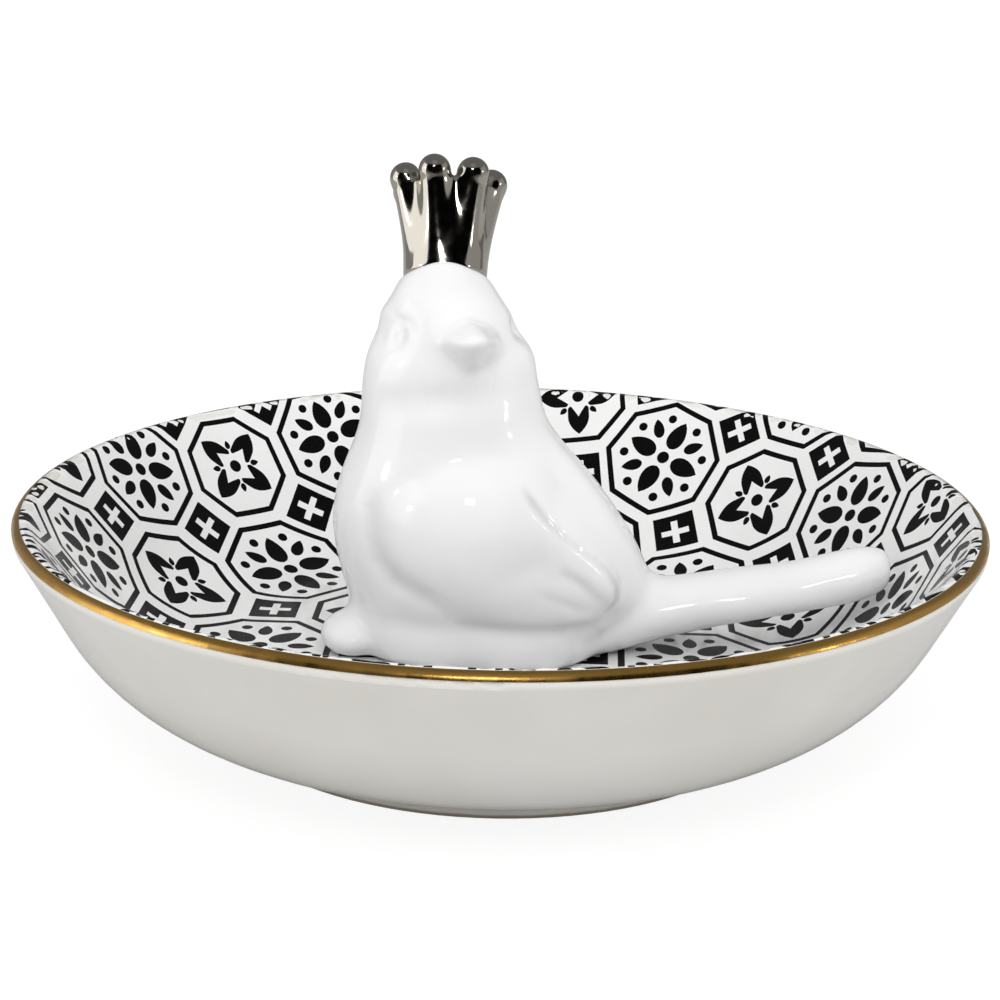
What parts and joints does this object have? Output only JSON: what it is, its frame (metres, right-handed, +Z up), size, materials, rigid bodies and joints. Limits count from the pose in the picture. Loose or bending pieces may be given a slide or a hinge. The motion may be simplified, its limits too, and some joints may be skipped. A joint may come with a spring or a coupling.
{
  "type": "ring dish",
  "caption": "Footed round porcelain trinket dish with a tiled black-and-white lining and a gilded lip; a white bird wearing a silver crown stands in it to hold finger rings.",
  "frame": {"origin": "middle of the foot ring, at the level it stands on", "axes": "+Z up, +X along the bird's tail, -Y towards the viewer and the bird's face"},
  "size_m": [0.1272, 0.1272, 0.0733],
  "materials": {
    "white_porcelain": "clear glaze, high gloss",
    "printed_transfer": "black in-glaze print on white, high gloss",
    "fired_gold": "bright fired gold",
    "fired_slip": "matt",
    "platinum_lustre": "mirror-bright platinum lustre over glaze"
  },
  "bodies": {
    "root": {"dish_body": "white_porcelain", "transfer_lining": "printed_transfer", "rim_gilding": "fired_gold", "bird_body": "white_porcelain", "bird_bond": "fired_slip", "crown": "platinum_lustre", "crown_bond": "fired_slip"}
  },
  "joints": []
}
